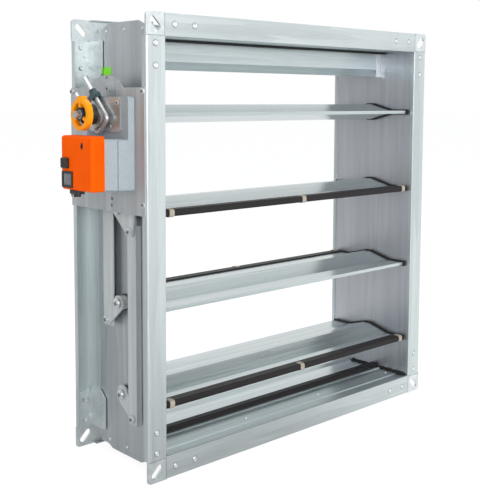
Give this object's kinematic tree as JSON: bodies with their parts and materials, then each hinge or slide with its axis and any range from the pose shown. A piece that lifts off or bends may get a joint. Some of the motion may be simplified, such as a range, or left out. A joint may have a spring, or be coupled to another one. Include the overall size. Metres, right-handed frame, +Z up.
{
  "type": "volume control damper",
  "caption": "Rectangular galvanised volume control damper with opposed blades, bolted duct flanges and a side-mounted rotary actuator on the drive spindle.",
  "frame": {"origin": "centre of the duct opening in the front flange plane", "axes": "+X to the right seen from the front (the actuator is on the -X side), +Y along the duct into the damper, +Z up"},
  "size_m": [0.6593, 0.18, 0.63],
  "materials": {
    "galvanised_sheet": "galvanised, satin with a fine grain",
    "rail_steel": "galvanised, satin",
    "fastener_steel": "zinc plated",
    "blade_sheet": "galvanised, satin",
    "end_cap_plastic": "matt black",
    "seal_rubber": "matt dark grey green",
    "clip_plastic": "cream, satin",
    "shaft_steel": "zinc plated, turned",
    "bush_plastic": "dark grey, satin",
    "link_steel": "galvanised, satin",
    "housing_casting": "die cast, satin",
    "cover_orange": "orange, satin moulded",
    "black_plastic": "black, satin",
    "clamp_zinc": "zinc plated, satin",
    "ring_plastic": "yellow orange, semi-gloss"
  },
  "bodies": {
    "casing": {"side_panel_left": "galvanised_sheet", "side_panel_right": "galvanised_sheet", "top_panel": "galvanised_sheet", "bottom_panel": "galvanised_sheet", "top_blade_stop": "galvanised_sheet", "bottom_blade_stop": "galvanised_sheet", "actuator_bracket": "galvanised_sheet", "front_rail_left": "rail_steel", "front_rail_right": "rail_steel", "front_rail_top": "rail_steel", "front_rail_bottom": "rail_steel", "back_rail_left": "rail_steel", "back_rail_right": "rail_steel", "back_rail_top": "rail_steel", "back_rail_bottom": "rail_steel", "front_corners": "rail_steel", "back_corners": "rail_steel", "rivets": "fastener_steel", "bracket_screws": "fastener_steel", "bottom_stop_seal": "seal_rubber", "shaft_bushes": "bush_plastic", "actuator_base": "housing_casting", "actuator_cover": "cover_orange", "terminal_window": "black_plastic", "cable_gland": "black_plastic", "clamp_faceplate": "clamp_zinc"},
    "blade_1_assembly": {"blade_1": "blade_sheet", "blade_1_seal": "seal_rubber", "blade_1_clips": "clip_plastic", "blade_1_end_caps": "end_cap_plastic", "blade_1_shafts": "shaft_steel", "blade_1_lever": "link_steel", "spindle_clamp": "clamp_zinc", "clamp_bolt": "clamp_zinc", "clamp_jaw": "clamp_zinc", "clamp_sleeve": "black_plastic", "indicator_ring": "ring_plastic"},
    "blade_2_assembly": {"blade_2": "blade_sheet", "blade_2_seal": "seal_rubber", "blade_2_clips": "clip_plastic", "blade_2_end_caps": "end_cap_plastic", "blade_2_shafts": "shaft_steel", "blade_2_lever": "link_steel"},
    "blade_3_assembly": {"blade_3": "blade_sheet", "blade_3_seal": "seal_rubber", "blade_3_clips": "clip_plastic", "blade_3_end_caps": "end_cap_plastic", "blade_3_shafts": "shaft_steel", "blade_3_lever": "link_steel"},
    "blade_4_assembly": {"blade_4": "blade_sheet", "blade_4_seal": "seal_rubber", "blade_4_clips": "clip_plastic", "blade_4_end_caps": "end_cap_plastic", "blade_4_shafts": "shaft_steel", "blade_4_lever": "link_steel"},
    "front_bar": {"link_bar_front": "link_steel", "bar_coupler": "link_steel"},
    "rear_bar": {"link_bar_rear": "link_steel"},
    "button": {"release_button": "black_plastic"}
  },
  "joints": [
    {"name": "blade_1_turn", "type": "hinge", "parent": "casing", "child": "blade_1_assembly", "pos_m": [0, 0.09, 0.181], "axis": [1, 0, 0], "range_deg": [0, 52]},
    {"name": "blade_2_turn", "type": "hinge", "parent": "casing", "child": "blade_2_assembly", "pos_m": [0, 0.09, 0.0485], "axis": [1, 0, 0], "range_deg": [-52, 0]},
    {"name": "blade_3_turn", "type": "hinge", "parent": "casing", "child": "blade_3_assembly", "pos_m": [0, 0.09, -0.084], "axis": [1, 0, 0], "range_deg": [0, 52]},
    {"name": "blade_4_turn", "type": "hinge", "parent": "casing", "child": "blade_4_assembly", "pos_m": [0, 0.09, -0.2165], "axis": [1, 0, 0], "range_deg": [-52, 0]},
    {"name": "front_bar_pivot", "type": "hinge", "parent": "blade_2_assembly", "child": "front_bar", "pos_m": [-0.28005, 0.06172, 0.02022], "axis": [1, 0, 0], "range_deg": [0, 52]},
    {"name": "rear_bar_pivot", "type": "hinge", "parent": "blade_1_assembly", "child": "rear_bar", "pos_m": [-0.28005, 0.11828, 0.15272], "axis": [1, 0, 0], "range_deg": [-52, 0]},
    {"name": "release_button_press", "type": "slide", "parent": "casing", "child": "button", "axis": [1, 0, 0], "range_m": [0, 0.0025], "stiffness_N_per_m": 600}
  ],
  "couplings": [
    {"joint": "blade_2_turn", "follows": "blade_1_turn", "ratio": -1},
    {"joint": "blade_3_turn", "follows": "blade_1_turn", "ratio": 1},
    {"joint": "blade_4_turn", "follows": "blade_1_turn", "ratio": -1},
    {"joint": "front_bar_pivot", "follows": "blade_1_turn", "ratio": 1},
    {"joint": "rear_bar_pivot", "follows": "blade_1_turn", "ratio": -1}
  ]
}
